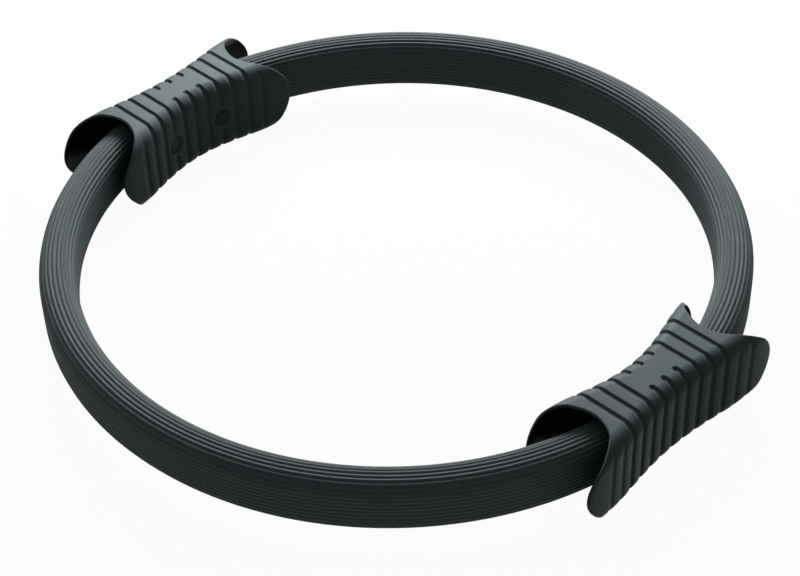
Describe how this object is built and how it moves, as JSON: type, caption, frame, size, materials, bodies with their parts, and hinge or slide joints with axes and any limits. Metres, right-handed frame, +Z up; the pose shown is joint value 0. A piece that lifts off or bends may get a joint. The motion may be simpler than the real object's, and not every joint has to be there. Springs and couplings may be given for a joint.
{
  "type": "pilates ring",
  "caption": "Flexible exercise ring: a ribbed rubber sleeve over a spring band, with grooved hourglass grips on opposite sides that are squeezed together or pulled apart.",
  "frame": {"origin": "centre of the ring, at the middle of its height", "axes": "+X towards the right grip, +Z up through the ring, +Y towards the rear half"},
  "size_m": [0.3818, 0.37, 0.046],
  "materials": {
    "sleeve_rubber": "matte, ribbed lengthwise",
    "grip_rubber": "matte, moulded with grooves",
    "plug_rubber": "matte",
    "core_plastic": "gloss black",
    "band_steel": "blued spring steel",
    "plate_steel": "zinc plated",
    "screw_steel": "zinc plated"
  },
  "bodies": {
    "left_handle": {"left_grip_skin": "grip_rubber", "left_inner_core": "core_plastic", "left_outer_core": "core_plastic", "left_splice_plate": "plate_steel", "left_band_end_front": "band_steel", "left_band_end_rear": "band_steel", "left_screws": "screw_steel", "left_plugs": "plug_rubber"},
    "right_handle": {"right_grip_skin": "grip_rubber", "right_inner_core": "core_plastic", "right_outer_core": "core_plastic", "right_splice_plate": "plate_steel", "right_band_end_front": "band_steel", "right_band_end_rear": "band_steel", "right_screws": "screw_steel", "right_plugs": "plug_rubber"},
    "rear_left": {"rear_sleeve_left": "sleeve_rubber", "rear_band_left": "band_steel"},
    "rear_right": {"rear_sleeve_right": "sleeve_rubber", "rear_band_right": "band_steel"},
    "front_left": {"front_sleeve_left": "sleeve_rubber", "front_band_left": "band_steel"},
    "front_right": {"front_sleeve_right": "sleeve_rubber", "front_band_right": "band_steel"}
  },
  "joints": [
    {"name": "squeeze", "type": "hinge", "parent": "left_handle", "child": "rear_left", "pos_m": [-0.17292, 0.03, 0], "axis": [0, 0, 1], "range_deg": [-4, 12], "stiffness_Nm_per_rad": 200},
    {"name": "rear_side_flex", "type": "hinge", "parent": "rear_left", "child": "rear_right", "pos_m": [0, 0.1755, 0], "axis": [0, 0, 1], "range_deg": [-24, 8]},
    {"name": "rear_right_flex", "type": "hinge", "parent": "rear_right", "child": "right_handle", "pos_m": [0.17292, 0.03, 0], "axis": [0, 0, 1], "range_deg": [-4, 12]},
    {"name": "front_left_flex", "type": "hinge", "parent": "left_handle", "child": "front_left", "pos_m": [-0.17292, -0.03, 0], "axis": [0, 0, 1], "range_deg": [-12, 4]},
    {"name": "front_side_flex", "type": "hinge", "parent": "front_left", "child": "front_right", "pos_m": [0, -0.1755, 0], "axis": [0, 0, 1], "range_deg": [-8, 24]}
  ],
  "couplings": [
    {"joint": "rear_side_flex", "follows": "squeeze", "ratio": -2},
    {"joint": "rear_right_flex", "follows": "squeeze", "ratio": 1},
    {"joint": "front_left_flex", "follows": "squeeze", "ratio": -1},
    {"joint": "front_side_flex", "follows": "squeeze", "ratio": 2}
  ]
}
